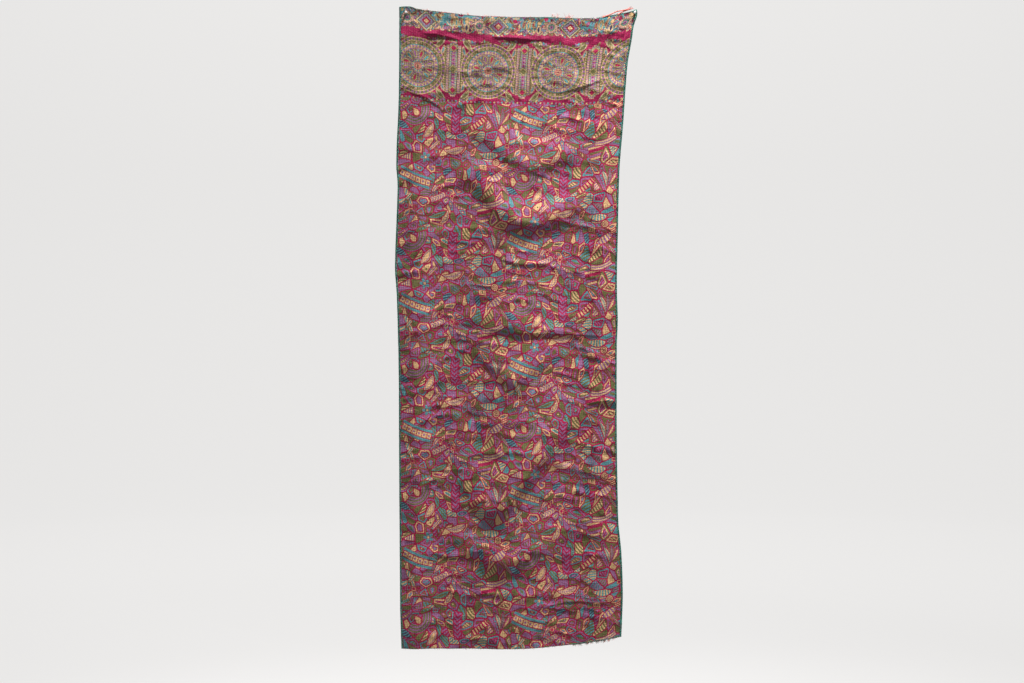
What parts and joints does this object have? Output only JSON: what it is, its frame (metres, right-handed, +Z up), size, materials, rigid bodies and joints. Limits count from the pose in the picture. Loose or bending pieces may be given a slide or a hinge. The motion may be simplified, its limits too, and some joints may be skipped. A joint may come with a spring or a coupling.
{
  "type": "kantha quilt with corner pins",
  "caption": "Long narrow printed kantha quilt hung face on by a pin at each top corner, with soft swags between them, thin stitched side edgings and frayed ends.",
  "frame": {"origin": "on the wall's face, midway between the two corner pins", "axes": "+Z up along the cloth's length, +Y into the wall, +X along the top edge; the cloth's face looks along -Y"},
  "size_m": [0.6285, 0.0517, 1.6753],
  "materials": {
    "printed_cloth": "soft vintage silk, all-over print in crimson, olive, tan, mauve and teal, rows of running stitch",
    "edging_thread": "close overcast stitches in dark teal thread",
    "frayed_thread": "loose coral and pale threads",
    "pin_white": "smooth white plastic"
  },
  "bodies": {
    "root": {"quilt_cloth": "printed_cloth", "edging_left": "edging_thread", "edging_right": "edging_thread", "frayed_top": "frayed_thread", "frayed_hem": "frayed_thread", "pin_left": "pin_white", "pin_right": "pin_white"}
  },
  "joints": []
}
